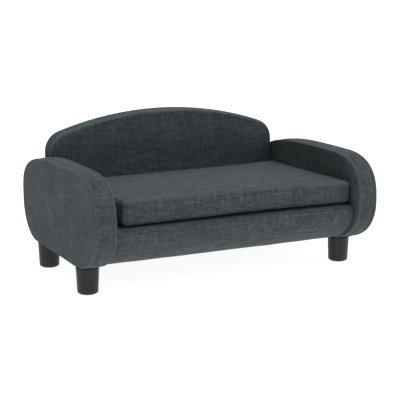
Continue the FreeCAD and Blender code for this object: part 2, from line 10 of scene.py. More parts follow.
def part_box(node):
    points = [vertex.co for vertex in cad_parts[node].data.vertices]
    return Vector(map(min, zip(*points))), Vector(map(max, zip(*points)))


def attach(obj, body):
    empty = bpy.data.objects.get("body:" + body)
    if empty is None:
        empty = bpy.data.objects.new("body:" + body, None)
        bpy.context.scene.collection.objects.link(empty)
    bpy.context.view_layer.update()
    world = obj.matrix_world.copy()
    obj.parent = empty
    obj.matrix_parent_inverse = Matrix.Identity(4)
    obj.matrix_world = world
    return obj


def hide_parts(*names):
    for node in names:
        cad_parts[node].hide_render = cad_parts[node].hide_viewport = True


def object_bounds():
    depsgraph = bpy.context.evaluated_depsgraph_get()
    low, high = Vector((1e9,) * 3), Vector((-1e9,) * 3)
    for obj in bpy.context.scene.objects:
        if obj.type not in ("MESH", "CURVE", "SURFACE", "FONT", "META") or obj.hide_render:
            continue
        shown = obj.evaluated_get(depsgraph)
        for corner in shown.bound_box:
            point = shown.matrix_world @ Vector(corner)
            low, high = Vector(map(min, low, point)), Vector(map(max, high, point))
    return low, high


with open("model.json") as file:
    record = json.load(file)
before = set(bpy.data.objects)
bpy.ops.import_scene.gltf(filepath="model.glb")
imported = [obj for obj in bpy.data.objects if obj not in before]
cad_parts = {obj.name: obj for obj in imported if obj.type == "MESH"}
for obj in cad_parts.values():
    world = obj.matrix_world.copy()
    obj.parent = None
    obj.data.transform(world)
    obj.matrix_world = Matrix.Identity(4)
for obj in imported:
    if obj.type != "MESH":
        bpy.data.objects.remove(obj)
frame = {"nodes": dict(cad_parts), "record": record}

cad_low, cad_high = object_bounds()
MM = 0.001
ROOT = "sofa"
draw = random.Random(11)

# ---------------- sizes, in metres
ARM_FRONT_LENGTH = 0.158     # rounded front end of the arm's side view
ARM_REAR_LENGTH = 0.338      # slope of its top down to the rear end
ARM_FRONT_TOP_SHAPE = 2.7    # superellipse exponents of its quarter curves
ARM_FRONT_LOW_SHAPE = 2.15
ARM_REAR_TOP_SHAPE = 3.0
ARM_REAR_RADIUS = 0.103      # lower rear corner of the arm
BACK_ARCH_RADIUS = 0.970
BACK_CORNER_RADIUS = 0.058
BACK_FOOT_RADIUS = 0.008     # lower corners of the backrest
NOSE_LENGTH = 0.124
NOSE_HEIGHT = 0.108
NOSE_CENTRE_Y = -0.133
NOSE_EDGE_RADIUS = 0.014
NOSE_LIP_END = -0.118
SHELL = 0.0063               # cloth and foam over the platform's boards
CUSHION_CORNER = 0.008
ARM_SPINE_END = 0.160        # how far the middle line of an arm's side stays from its ends
PATH_STEP = 0.003            # spacing of rings along a sewn band
PANEL_STEP = 0.005           # spacing of points round a panel
STITCH_ROW = 0.0082          # distance of a topstitch from the seam
STITCH_LENGTH = 0.0034
STITCH_PITCH = 0.0047
STITCH_RADIUS = 0.00042
STITCH_DEPTH = 0.0011
WELT_RADIUS = 0.00125
WELT_DEPTH = 0.0016
BAND_EDGE = 0.0030           # how far a band stays from the face beside it
WELT_EDGE = 0.0032
PAD_THICK = 0.0073           # of the padding on an arm's sides
ARM_ROLL = 0.0042            # edges of the panels on an arm's two sides
BACK_ROLL = 0.0095           # front edge of the backrest
NOSE_END_ROLL = 0.005        # soft end of the platform pad
NOSE_END_ROLL_TOP = 0.009    # the same at its upper front edge


# ---------------- shader building
class Nodes:
    """A node tree that is built up node by node."""

    def __init__(self, tree):
        self.tree = tree

    def node(self, kind, inputs=(), out=0, **settings):
        """Adds a node and returns one output. An input is a value or another node's socket."""
        made = self.tree.nodes.new("ShaderNode" + kind)
        for key, value in settings.items():
            setattr(made, key, value)
        for key, value in dict(inputs).items():
            if isinstance(value, bpy.types.NodeSocket):
                self.tree.links.new(value, made.inputs[key])
            else:
                made.inputs[key].default_value = value
        return made.outputs[out]

    def math(self, operation, a, b=0.0):
        return self.node("Math", {0: a, 1: b}, operation=operation)

    def plus(self, a, b):
        return self.math("ADD", a, b)

    def times(self, a, b):
        return self.math("MULTIPLY", a, b)

    def split(self, vector):
        """The x, y and z of a vector."""
        parts = self.node("SeparateXYZ", {0: vector}).node
        return parts.outputs[0], parts.outputs[1], parts.outputs[2]

    def mix(self, factor, a, b):
        """Blend of two numbers."""
        return self.node("Mix", {0: factor, 2: a, 3: b}, data_type="FLOAT")

    def tint(self, factor, a, b, blend="MIX"):
        """Blend of two colours."""
        return self.node("Mix", {0: factor, 6: a, 7: b}, out=2, data_type="RGBA", blend_type=blend)

    def scaled(self, vector, scale, shift=(0.0, 0.0, 0.0)):
        return self.node("VectorMath", {0: vector, 1: scale, 2: shift}, operation="MULTIPLY_ADD")

    def noise(self, vector, scale, detail=2.0, roughness=0.5):
        """Noise; three numbers as its scale stretch it along the axes."""
        if isinstance(scale, tuple):
            vector, scale = self.scaled(vector, scale), 1.0
        return self.node("TexNoise", {
            "Vector": vector, "Scale": scale, "Detail": detail, "Roughness": roughness})

    def spread(self, value, low, high):
        """Stretches the range low to high over 0 to 1, smoothly."""
        return self.node("MapRange", {"Value": value, "From Min": low, "From Max": high},
                         interpolation_type="SMOOTHSTEP")

    def ramp(self, factor, stops):
        made = self.tree.nodes.new("ShaderNodeValToRGB")
        self.tree.links.new(factor, made.inputs[0])
        elements = made.color_ramp.elements
        while len(elements) < len(stops):
            elements.new(0.5)
        for element, (place, colour) in zip(elements, stops):
            element.position = place
            element.color = (*colour, 1.0)
        return made.outputs[0]

    def place(self):
        """Object coordinates, in metres."""
        return self.node("TexCoord", out=3)


class Shader(Nodes):
    """A Principled material."""

    def __init__(self, name, roughness, metallic=0.0, sheen=0.0, specular=0.5):
        self.material = bpy.data.materials.new(name)
        self.material.use_nodes = True
        super().__init__(self.material.node_tree)
        self.bsdf = self.tree.nodes["Principled BSDF"]
        for key, value in (
                ("Roughness", roughness), ("Metallic", metallic), ("Sheen Weight", sheen),
                ("Sheen Roughness", 0.45), ("Specular IOR Level", specular)):
            self.bsdf.inputs[key].default_value = value

    def colour(self, socket):
        self.tree.links.new(socket, self.bsdf.inputs["Base Color"])

    def rough(self, socket):
        self.tree.links.new(socket, self.bsdf.inputs["Roughness"])

    def bump(self, height, strength, distance):
        bumped = self.node("Bump", {"Height": height, "Strength": strength, "Distance": distance})
        self.tree.links.new(bumped, self.bsdf.inputs["Normal"])


# ---------------- materials
THREAD = 0.0012              # pitch of the woven threads
WEFT_STRETCH = 1.6           # slubs are longer in the threads that run along u
FABRIC_DARK = (0.0170, 0.0224, 0.0268)
FABRIC_MIDDLE = (0.0442, 0.0551, 0.0600)
FABRIC_LIGHT = (0.118, 0.136, 0.142)
FABRIC_WORN_AND_SHEEN = (0.115, 0.130, 0.135)        # along the seams: worn cloth and a painted sheen highlight
FLOOR_GLOW = 0.92


def weave_tones(s, cloth):
    """Tone of the threads that run along v and of those that run along u, each 0 to 1."""
    tones = []
    for turned in (False, True):
        def stretch(across, along, shift):
            scale = (1 / across, 1 / along, 1.0)
            if turned:
                scale = (1 / (along * WEFT_STRETCH), 1 / across, 1.0)
            return s.scaled(cloth, scale, (shift, shift * 1.7, shift * 0.3))

        start = 40.0 if turned else 0.0
        single = s.noise(stretch(THREAD, 0.012, start), 1.0, 1.0)
        slub = s.noise(stretch(0.0026, 0.024, start + 11.0), 1.0, 2.0, 0.6)
        wide = s.noise(stretch(0.0055, 0.050, start + 23.0), 1.0, 1.0)
        tone = s.plus(s.times(single, 0.36), s.times(slub, 0.42))
        tones.append(s.plus(tone, s.times(wide, 0.22)))
    return tones


def make_fabric():
    """Plain weave of uneven slate threads, with slubs, a soft nap and seam edges painted lighter,
    for wear and as a painted sheen highlight.
    """
    s = Shader("slate_linen", 0.92, sheen=0.07, specular=0.15)
    cloth = s.node("Attribute", out=1, attribute_name="weave")
    wear_and_sheen = s.node("Attribute", out=2, attribute_name="wear_and_sheen")
    u, v, _ = s.split(cloth)
    across = s.math("SINE", s.times(u, math.pi / THREAD))
    along = s.math("SINE", s.times(v, math.pi / THREAD))
    over = s.spread(s.times(across, along), -0.35, 0.35)
    warp, weft = weave_tones(s, cloth)
    tone = s.mix(over, warp, weft)
    cloud = s.noise(cloth, 14.0, 3.0, 0.55)
    tone = s.plus(tone, s.times(s.math("SUBTRACT", cloud, 0.5), 0.10))
    threads = s.ramp(tone, [(0.34, FABRIC_DARK), (0.50, FABRIC_MIDDLE), (0.66, FABRIC_LIGHT)])
    # the seam tint is worn cloth and also a painted sheen highlight along the seams
    s.colour(s.tint(s.times(wear_and_sheen, 0.55), threads, (*FABRIC_WORN_AND_SHEEN, 1.0)))
    s.rough(s.mix(tone, 0.98, 0.84))
    threads_high = s.mix(over, s.math("ABSOLUTE", across), s.math("ABSOLUTE", along))
    s.bump(s.plus(threads_high, s.times(tone, 1.6)), 0.55, 0.0004)
    return s.material


def make_speckled(name, roughness, sheen, grain, dark, light, bump):
    """Plain material; its grain (scale, detail, roughness) shows in its colour and its height."""
    s = Shader(name, roughness, sheen=sheen)
    speckle = s.noise(s.place(), *grain)
    s.colour(s.ramp(speckle, [(0.3, dark), (0.7, light)]))
    s.bump(speckle, *bump)
    return s.material


def make_metal(name, spots, lines, dull, bright, roughness, depth):
    """Plated metal with cloudy spots and fine lines (scale, detail)."""
    s = Shader(name, roughness[0], metallic=1.0)
    place = s.place()
    cloud = s.noise(place, spots, 3.0, 0.6)
    s.colour(s.ramp(cloud, [(0.3, dull), (0.7, bright)]))
    s.rough(s.mix(cloud, *roughness))
    s.bump(s.noise(place, *lines), depth, 0.0001)
    return s.material


def make_leg_plastic():
    """Satin moulded plastic with a fine spark-eroded grain and a scuffed foot."""
    s = Shader("leg_plastic", 0.46, specular=0.28)
    place = s.place()
    grain = s.noise(place, 1900.0, 2.0, 0.6)
    blotch = s.noise(place, 26.0, 3.0, 0.5)
    flow = s.noise(place, (60.0, 60.0, 9.0), 2.0)
    foot = s.spread(s.split(place)[2], 0.016, 0.001)
    scuff = s.times(foot, s.spread(s.noise(place, 320.0, 3.0, 0.7), 0.5, 0.66))
    base = s.ramp(s.mix(0.5, blotch, flow), [
        (0.30, (0.014, 0.013, 0.016)), (0.70, (0.021, 0.020, 0.024))])
    s.colour(s.tint(scuff, base, (0.075, 0.073, 0.078, 1.0)))
    s.rough(s.plus(s.mix(blotch, 0.36, 0.50), s.times(scuff, 0.25)))
    s.bump(s.plus(grain, s.times(scuff, 0.8)), 0.25, 0.0001)
    return s.material


def make_board():
    """Raw plywood with long grain and darker pores."""
    s = Shader("raw_plywood", 0.72, specular=0.3)
    place = s.place()
    bend = s.noise(place, 5.0, 2.0)
    grain = s.noise(place, (7.0, 90.0, 90.0), 4.0, 0.6)
    rings = s.node("TexWave", {
        "Vector": s.scaled(place, (3.0, 34.0, 34.0)), "Scale": 1.0,
        "Distortion": 7.0, "Detail": 3.0})
    pores = s.spread(s.noise(place, (40.0, 900.0, 900.0), 2.0), 0.56, 0.68)
    tone = s.mix(0.45, s.mix(0.5, grain, bend), rings)
    wood = s.ramp(tone, [
        (0.25, (0.36, 0.22, 0.115)), (0.55, (0.52, 0.36, 0.21)), (0.8, (0.64, 0.48, 0.31))])
    s.colour(s.tint(s.times(pores, 0.45), wood, (0.19, 0.10, 0.045, 1.0)))
    s.rough(s.mix(grain, 0.62, 0.82))
    s.bump(s.math("SUBTRACT", grain, pores), 0.35, 0.0003)
    return s.material


def make_zip_tape():
    """Herringbone tape."""
    s = Shader("zip_tape", 0.85, sheen=0.3)
    place = s.place()
    x, _, z = s.split(place)
    ribs = s.math("SINE", s.times(s.plus(x, s.math("PINGPONG", z, 0.0016)), 5200.0))
    tone = s.plus(s.times(ribs, 0.25), s.noise(place, 700.0))
    s.colour(s.ramp(tone, [(0.25, (0.018, 0.021, 0.024)), (0.8, (0.055, 0.064, 0.070))]))
    s.bump(ribs, 0.5, 0.0003)
    return s.material


def make_dust_cloth():
    """Black spun-bonded cloth with its grid of small heat bonds."""
    s = Shader("spunbond", 0.88, sheen=0.25, specular=0.3)
    place = s.place()
    bonds = s.node("TexVoronoi", {"Vector": s.scaled(place, (700.0, 700.0, 0.0)), "Scale": 1.0,
                                  "Randomness": 0.25})
    fibres = s.noise(place, (900.0, 260.0, 900.0), 4.0, 0.7)
    pressed = s.spread(bonds, 0.42, 0.18)
    tone = s.math("SUBTRACT", fibres, s.times(pressed, 0.25))
    s.colour(s.ramp(tone, [(0.2, (0.006, 0.006, 0.006)), (0.7, (0.032, 0.032, 0.033))]))
    s.bump(tone, 0.6, 0.0003)
    return s.material


def make_floor():
    """Pale seamless studio floor that is also lit from within, so that it stays even."""
    s = Shader("studio_floor", 0.9, specular=0.1)
    patches = s.noise(s.place(), 1.5, 2.0)
    s.colour(s.ramp(patches, [(0.3, (0.36, 0.36, 0.36)), (0.7, (0.39, 0.39, 0.39))]))
    s.bsdf.inputs["Emission Color"].default_value = (1.0, 1.0, 1.0, 1.0)
    s.bsdf.inputs["Emission Strength"].default_value = FLOOR_GLOW
    return s.material


FABRIC = make_fabric()
THREAD_MATERIAL = make_speckled(
    "sewing_thread", 0.6, 0.2, (900.0, 1.0),
    (0.050, 0.060, 0.066), (0.130, 0.148, 0.156), (0.4, 0.0002))
SLOT_MATERIALS = {
    "upholstery": FABRIC,
    "board": make_board(),
    "leg": make_leg_plastic(),
    # pressed felt
    "glide": make_speckled(
        "glide_felt", 0.95, 0.5, ((1400.0, 500.0, 1400.0), 4.0, 0.7),
        (0.018, 0.018, 0.019), (0.060, 0.059, 0.060), (0.7, 0.0004)),
    # bright plate with drawing lines
    "zinc_steel": make_metal(
        "zinc_steel", 210.0, ((300.0, 300.0, 2600.0), 1.0),
        (0.47, 0.49, 0.52), (0.66, 0.66, 0.64), (0.26, 0.46), 0.15),
    # dark nickel with scratches
    "zip_metal": make_metal(
        "zip_nickel", 420.0, ((700.0, 5200.0, 5200.0), 2.0),
        (0.17, 0.17, 0.175), (0.33, 0.33, 0.335), (0.22, 0.42), 0.12),
    "zip_tape": make_zip_tape(),
    # nylon coil
    "zip_teeth": make_speckled(
        "zip_nylon", 0.38, 0.0, (900.0, 2.0),
        (0.030, 0.033, 0.036), (0.060, 0.066, 0.071), (0.2, 0.0001)),
    "dust_cloth": make_dust_cloth(),
}


# ---------------- mesh building
class Mesh:
    """Points and faces of one piece, with the cloth coordinate of every face corner."""

    def __init__(self):
        self.points = []
        self.faces = []
        self.cloth = []
        self.wear_and_sheen = []

    def grid(self, rows, cloth, loop_rows=False, loop_columns=False, wear_and_sheen=None):
        """Quads over rows of points. cloth(row, column) gives the cloth coordinate of a corner."""
        base = len(self.points)
        count = len(rows)
        width = len(rows[0])
        for r, row in enumerate(rows):
            self.points.extend(row)
            self.wear_and_sheen.extend(wear_and_sheen[r] if wear_and_sheen else [0.0] * width)
        for r in range(count if loop_rows else count - 1):
            for c in range(width if loop_columns else width - 1):
                corners = ((r, c), (r + 1, c), (r + 1, c + 1), (r, c + 1))
                self.faces.append([base + (a % count) * width + b % width for a, b in corners])
                self.cloth.append([cloth(a, b) for a, b in corners])
        return base

    def cap(self, ids, cloth):
        """One face over points that are there already."""
        self.faces.append(list(ids))
        self.cloth.append(list(cloth))

    def cap_ends(self, base, rows, cloth=lambda r, c: (0.0, 0.0)):
        """One face over the first and one over the last of the closed rows from point base on."""
        width = len(rows[0])
        for r in (0, len(rows) - 1):
            start = base + r * width
            self.cap(range(start, start + width), [cloth(r, c) for c in range(width)])

    def close_ends(self, base, rows, cloth):
        """Quads over the first and the last row of a double layer, whose rows run out and back."""
        width = len(rows[0])
        for r in (0, len(rows) - 1):
            start = base + r * width
            for c in range(width // 2 - 1):
                ids = (c, c + 1, width - 2 - c, width - 1 - c)
                self.cap([start + i for i in ids], [cloth(r, i) for i in ids])

    def tube(self, path, radii, sides, loop=False):
        """Round tube along points; a zero radius at an open end closes it to a tip."""
        rings = []
        count = len(path)
        side = None
        for i, centre in enumerate(path):
            ahead = path[(i + 1) % count] if loop or i + 1 < count else centre
            behind = path[i - 1] if loop or i else centre
            direction = (ahead - behind).normalized()
            if side is None:
                side = direction.orthogonal()
            side = (side - direction * side.dot(direction)).normalized()
            up = direction.cross(side)
            radius = radii[i] if hasattr(radii, "__len__") else radii
            rings.append([
                centre + side * (radius * math.cos(2 * math.pi * k / sides))
                + up * (radius * math.sin(2 * math.pi * k / sides)) for k in range(sides)])
        base = self.grid(rings, lambda r, c: (c * 0.0008, r * 0.003), loop, True)
        if not loop:
            self.cap_ends(base, rings)

    def piece(self, name, slot, body=ROOT, material=None, offset=0.0, smooth=True):
        """Makes the object, with outward faces and its weave coordinates."""
        mesh = bpy.data.meshes.new(name)
        mesh.from_pydata([tuple(p) for p in self.points], [], self.faces)
        weave = mesh.attributes.new("weave", "FLOAT_VECTOR", "CORNER")
        flat = [x for face in self.cloth for u, v in face for x in (u, v, offset)]
        weave.data.foreach_set("vector", flat)
        mesh.attributes.new("wear_and_sheen", "FLOAT", "POINT").data.foreach_set("value", self.wear_and_sheen)
        outward(mesh)
        mesh.polygons.foreach_set("use_smooth", [smooth] * len(mesh.polygons))
        obj = linked(name, mesh)
        finish_piece(obj, slot, body, material)
        return obj


def linked(name, data):
    """A new object in the scene."""
    obj = bpy.data.objects.new(name, data)
    bpy.context.scene.collection.objects.link(obj)
    return obj


def outward(mesh):
    """Turns the faces of a closed mesh outwards."""
    work = bmesh.new()
    work.from_mesh(mesh)
    bmesh.ops.recalc_face_normals(work, faces=work.faces)
    work.to_mesh(mesh)
    work.free()


def finish_piece(obj, slot, body, material=None):
    obj.data.materials.clear()
    obj.data.materials.append(material or SLOT_MATERIALS[slot])
    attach(obj, body)


def bell(distance, width):
    return math.exp(-(distance / width) ** 2)


def uneven_at(x, y, z):
    """Noise between -1 and 1."""
    return noise.noise(Vector((x, y, z)))


def waviness(x, y, z, scale, size):
    """Slow unevenness of padded cloth."""
    return size * uneven_at(x * scale, y * scale, z * scale)


def span(*nodes):
    """Lowest and highest corner of several nodes together."""
    boxes = [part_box(node) for node in nodes]
    low = Vector([min(box[0][k] for box in boxes) for k in range(3)])
    high = Vector([max(box[1][k] for box in boxes) for k in range(3)])
    return low, high


# ---------------- outlines
class Outline:
    """Evenly spaced points along a flat path, with outward normals and lengths along it."""

    def __init__(self, corners, step, loop=True):
        self.loop = loop
        path = corners + [corners[0]] if loop else corners
        runs = [0.0]
        for a, b in zip(path, path[1:]):
            runs.append(runs[-1] + math.dist(a, b))
        self.total = runs[-1]
        count = max(3, round(self.total / step))
        self.points = []
        at = 0
        for i in range(count if loop else count + 1):
            length = min(self.total * i / count, self.total)
            while at < len(runs) - 2 and runs[at + 1] < length:
                at += 1
            share = (length - runs[at]) / max(runs[at + 1] - runs[at], 1e-12)
            (a, b), (c, d) = path[at], path[at + 1]
            self.points.append((a + (c - a) * share, b + (d - b) * share))
        self.step = self.total / count
        self.normals = [self.normal(i) for i in range(len(self.points))]

    def normal(self, i):
        """Normal on the right of the direction of travel."""
        count = len(self.points)
        ahead = self.points[(i + 1) % count if self.loop else min(i + 1, count - 1)]
        behind = self.points[i - 1 if self.loop else max(i - 1, 0)]
        run = (ahead[0] - behind[0], ahead[1] - behind[1])
        size = math.hypot(*run)
        return run[1] / size, -run[0] / size

    def inset(self, i, depth):
        (a, b), (na, nb) = self.points[i], self.normals[i]
        return a - na * depth, b - nb * depth


def arc(centre, radii, start, end, step=0.001):
    """Points on an elliptical arc between two angles in degrees."""
    count = max(4, int(abs(math.radians(end - start)) * max(radii) / step))
    points = []
    for i in range(count + 1):
        angle = math.radians(start + (end - start) * i / count)
        points.append((
            centre[0] + radii[0] * math.cos(angle), centre[1] + radii[1] * math.sin(angle)))
    return points


def quarter(centre, length, height, shape, count=240):
    """Quarter superellipse, from the end of its length to the end of its height."""
    points = []
    for i in range(count + 1):
        angle = math.pi / 2 * i / count
        along = max(math.cos(angle), 0.0) ** (2 / shape)
        across = math.sin(angle) ** (2 / shape)
        points.append((centre[0] + length * along, centre[1] + height * across))
    return points


def arm_outline(step):
    """Side view of an arm, in y and z, anticlockwise."""
    low, high = span("left_arm_band_cover")
    middle = (low.z + high.z) / 2
    height = (high.z - low.z) / 2
    front = low.y + ARM_FRONT_LENGTH
    corner = (high.y - ARM_REAR_RADIUS, low.z + ARM_REAR_RADIUS)
    path = quarter((high.y - ARM_REAR_LENGTH, middle), ARM_REAR_LENGTH, height, ARM_REAR_TOP_SHAPE)
    path += quarter((front, middle), -ARM_FRONT_LENGTH, height, ARM_FRONT_TOP_SHAPE)[::-1]
    path += quarter((front, middle), -ARM_FRONT_LENGTH, -height, ARM_FRONT_LOW_SHAPE)[1:]
    path += arc(corner, (ARM_REAR_RADIUS, ARM_REAR_RADIUS), -90, 0)
    return Outline(path, step)


def back_outline(step):
    """Front view of the backrest, in x and z, anticlockwise."""
    low, high = span("back_band_cover")
    arch = BACK_ARCH_RADIUS
    corner = BACK_CORNER_RADIUS
    arch_z = high.z - arch
    corner_x = high.x - corner
    corner_z = arch_z + math.sqrt((arch - corner) ** 2 - corner_x ** 2)
    meet = math.degrees(math.atan2(corner_z - arch_z, corner_x))
    foot = BACK_FOOT_RADIUS
    path = arc((corner_x, corner_z), (corner, corner), 0, meet)
    path += arc((0.0, arch_z), (arch, arch), meet, 180 - meet)
    path += arc((-corner_x, corner_z), (corner, corner), 180 - meet, 180)
    path += arc((low.x + foot, low.z + foot), (foot, foot), 180, 270)
    path += arc((high.x - foot, low.z + foot), (foot, foot), 270, 360)
    return Outline(path, step)


def platform_outline(step):
    """Section of the platform's cover, in y and z, from its rear edge round the nose to its lip."""
    low, high = span("platform_cover")
    top = high.z
    centre_z = low.z + NOSE_HEIGHT
    radius = NOSE_EDGE_RADIUS
    path = [(high.y - 0.0004, top)]
    # the front edge is rounded where the flat top meets the nose
    edge_z = top - radius
    inner = NOSE_LENGTH - radius
    level = (edge_z - centre_z) / (NOSE_HEIGHT - radius)
    edge_y = NOSE_CENTRE_Y - inner * math.sqrt(1 - level ** 2)
    path += arc((edge_y, edge_z), (radius, radius), 90, 186)
    start = 180 + math.degrees(math.asin((centre_z - path[-1][1]) / NOSE_HEIGHT))
    path += arc((NOSE_CENTRE_Y, centre_z), (NOSE_LENGTH, NOSE_HEIGHT), start, 270)
    path.append((NOSE_LIP_END, low.z))
    return Outline(path, step, loop=False)


# ---------------- sewn bands
BAND_HALF = (
    # distance from the band's edge, depth under the nominal surface, in mm
    (-0.2, 4.6), (0.0, 3.2), (0.5, 2.0), (1.3, 1.0), (2.4, 0.30), (3.8, -0.05), (5.4, 0.05),
    (6.9, 0.55), (7.7, 1.15), (8.3, 1.25), (9.0, 0.85), (10.2, 0.25), (12.0, -0.10), (15.0, -0.45),
)


def band_depth(i, distance):
    """Extra depth of a sewn band at a point: gathers along the topstitch and slow waves."""
    length = i * PATH_STEP
    gather = uneven_at(length * 150, distance * 40, 3.1)
    slow = uneven_at(length * 22, distance * 30, 8.7)
    return MM * (0.55 * gather * bell(distance - STITCH_ROW, 0.004) + 0.45 * slow)


def sewn_band(name, outline, low, high, place, offset):
    """Band swept round an outline between two depths, with a raised edge and a stitched groove."""
    width = high - low
    side = [(d * MM, depth * MM) for d, depth in BAND_HALF]
    section = [(low + d, depth, d) for d, depth in side]
    middle = [0.30, 0.42, 0.50, 0.58, 0.70]
    section += [(low + width * t, -0.00062 - 0.0005 * math.sin(math.pi * t), width * min(t, 1 - t))
                for t in middle if width * min(t, 1 - t) > 0.0155]
    section += [(high - d, depth, d) for d, depth in reversed(side)]
    inner = [(high - 0.001, SHELL), (low + 0.001, SHELL)]
    rows = []
    wear_and_sheen = []
    for i in range(len(outline.points)):
        row = []
        for across, depth, d in section:
            extra = band_depth(i, d) if 0.0005 < d else 0.0
            row.append(place(*outline.inset(i, depth + extra), across))
        rows.append(row + [place(*outline.inset(i, depth), across) for across, depth in inner])
        # both edges of the band are painted lighter: worn seam cloth and a painted sheen highlight
        wear_and_sheen.append([bell(d - 0.0015, 0.0014) * 0.8 for _, _, d in section] + [0.0, 0.0])
    mesh = Mesh()
    places = [s[0] for s in section] + [high + 0.006, low - 0.006, section[0][0]]
    count = len(places) - 1

    def cloth(r, c):
        return places[c % count], r * outline.step

    mesh.grid(rows, cloth, True, True, wear_and_sheen)
    return mesh.piece(name, "upholstery", offset=offset)


def seam_welt(name, outline, across, depth, place, offset):
    """Thin raised seam along an outline."""
    path = [place(*outline.inset(i, depth), across) for i in range(len(outline.points))]
    mesh = Mesh()
    mesh.tube(path, WELT_RADIUS, 8, loop=True)
    # the whole welt is painted lighter: worn cloth and a painted sheen highlight on the raised seam
    mesh.wear_and_sheen = [0.75] * len(mesh.points)
    return mesh.piece(name, "upholstery", offset=offset)


def topstitches(name, outline, rows, place):
    """Rows of separate stitches that lie in the grooves of a band."""
    mesh = Mesh()
    count = int(outline.total / STITCH_PITCH)
    for across, depth in rows:
        for k in range(count):
            middle = (k + draw.uniform(-0.06, 0.06)) / count * len(outline.points)
            half = STITCH_LENGTH / 2 / outline.step
            path = []
            for share in (-1.0, -0.72, 0.0, 0.72, 1.0):
                at = middle + share * half
                i = int(math.floor(at))
                fraction = at - i
                lift = 0.00042 * (1 - share * share) - 0.00025
                first = outline.inset(i % len(outline.points), depth - lift)
                second = outline.inset((i + 1) % len(outline.points), depth - lift)
                a = first[0] + (second[0] - first[0]) * fraction
                b = first[1] + (second[1] - first[1]) * fraction
                path.append(place(a, b, across))
            thick = STITCH_RADIUS
            mesh.tube(path, (thick * 0.35, thick * 0.9, thick, thick * 0.9, thick * 0.35), 6)
    return mesh.piece(name, "upholstery", material=THREAD_MATERIAL)


def sewn_edge(name, outline, low, high, welts, place, offset):
    """Band with a welt on both of its seams and a row of topstitches beside each."""
    band = sewn_band(name + "band", outline, low, high, place, offset)
    for label, across, turn in welts:
        seam_welt(name + label, outline, across, WELT_DEPTH, place, turn)
    rows = [(low + STITCH_ROW, STITCH_DEPTH), (high - STITCH_ROW, STITCH_DEPTH)]
    topstitches(name + "topstitch", outline, rows, place)
    return band


# ---------------- padded panels
EDGE_RINGS = (0.0, 0.6, 1.4, 2.4, 3.6, 5.0, 6.6, 8.4, 10.4, 12.6, 15.0, 18.0, 22.0, 28.0, 36.0)
INNER_RINGS = 11
REAR_INSET = 0.0015          # the flat rear of a panel is this much smaller


def padded_panel(name, outline, spine, shape, place, back, offset, wear_and_sheen_width=0.0018):
    """Padded panel inside an outline.

    spine is the line that its rings close in on, as (low, high, level); shape(a, b, s) gives the
    face's position across the panel at distance s from the edge; back is that of the flat rear.
    """
    low, high, level = spine

    def inward(a, b):
        """From the rim's point to the spine: the vector and its length."""
        across, up = min(max(a, low), high) - a, level - b
        return across, up, math.hypot(across, up)

    rings = []
    shares = [None] * len(EDGE_RINGS) + [(k + 1) / INNER_RINGS * 0.97 for k in range(INNER_RINGS)]
    start = EDGE_RINGS[-1] * MM
    wear_and_sheen = []
    for k, share in enumerate(shares):
        ring = []
        worn_and_sheen = []
        for a, b in outline.points:
            across, up, reach = inward(a, b)
            s = EDGE_RINGS[k] * MM if share is None else start + (reach - start) * share
            at = (a + across * s / reach, b + up * s / reach)
            ring.append(place(*at, shape(*at, s)))
            # a band along the rim is painted lighter: worn seam edge and a painted sheen highlight
            worn_and_sheen.append(0.7 * bell(s - 0.0018, wear_and_sheen_width))
        rings.append(ring)
        wear_and_sheen.append(worn_and_sheen)
    flat = []
    for a, b in outline.points:
        across, up, reach = inward(a, b)
        t = REAR_INSET / reach
        flat.append(place(a + across * t, b + up * t, back))
    mesh = Mesh()
    every = [flat] + rings

    def cloth(r, c):
        return place.flat(every[r][c % len(flat)])

    base = mesh.grid(every, cloth, False, True, [[0.0] * len(flat)] + wear_and_sheen)
    mesh.cap_ends(base, every, cloth)
    return mesh.piece(name, "upholstery", offset=offset)


class Place:
    """Turns outline coordinates and a position across them into a point."""

    def __init__(self, axis, sign=1):
        self.axis = axis
        self.sign = sign

    def __call__(self, a, b, across):
        if self.axis == "x":
            return Vector((self.sign * across, a, b))
        return Vector((a, across, b))

    def flat(self, point):
        if self.axis == "x":
            return point.y, point.z
        return point.x, point.z


def roll(s, radius):
    """Drop of a quarter-round edge at distance s from its rim."""
    if s >= radius:
        return 0.0
    return radius - math.sqrt(radius ** 2 - (radius - s) ** 2)


# ---------------- arms
def build_arm(side, sign):
    """Covers of one arm. The positions across it are measured away from the middle of the sofa."""
    low, high = span(side + "_arm_outer_cover", side + "_arm_inner_cover")
    inner = min(abs(low.x), abs(high.x))
    outer = max(abs(low.x), abs(high.x))
    place = Place("x", sign)
    around = arm_outline(PATH_STEP)
    rim = arm_outline(PANEL_STEP)
    spine = (low.y + ARM_SPINE_END, high.y - ARM_SPINE_END, (low.z + high.z) / 2)
    seed = 5.0 * sign

    def outer_face(y, z, s):
        pillow = 0.0011 * (1 - math.exp(-s / 0.03))
        uneven = waviness(seed, y, z, 11, 0.0010) * min(1.0, s / 0.03)
        return outer - 0.0002 - roll(s, ARM_ROLL) + pillow + uneven

    def inner_face(y, z, s):
        uneven = waviness(seed + 20, y, z, 11, 0.0004) * min(1.0, s / 0.03)
        return inner + 0.0002 + roll(s, ARM_ROLL) + abs(uneven)

    name = side + "_arm_"
    outside = padded_panel(
        name + "outer_side", rim, spine, outer_face, place, outer - PAD_THICK, 3.0 + seed)
    inside = padded_panel(
        name + "inner_side", rim, spine, inner_face, place, inner + PAD_THICK, 9.0 + seed)
    welts = (("inner_welt", inner + WELT_EDGE, 21.0 + seed),
             ("outer_welt", outer - WELT_EDGE, 21.0 + seed))
    band = sewn_edge(
        name, around, inner + BAND_EDGE, outer - BAND_EDGE, welts, place, 15.0 + seed)
    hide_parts(name + "outer_cover", name + "outer_foam")
    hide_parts(name + "inner_cover", name + "inner_foam")
    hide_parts(name + "band_cover", name + "edge_foam")


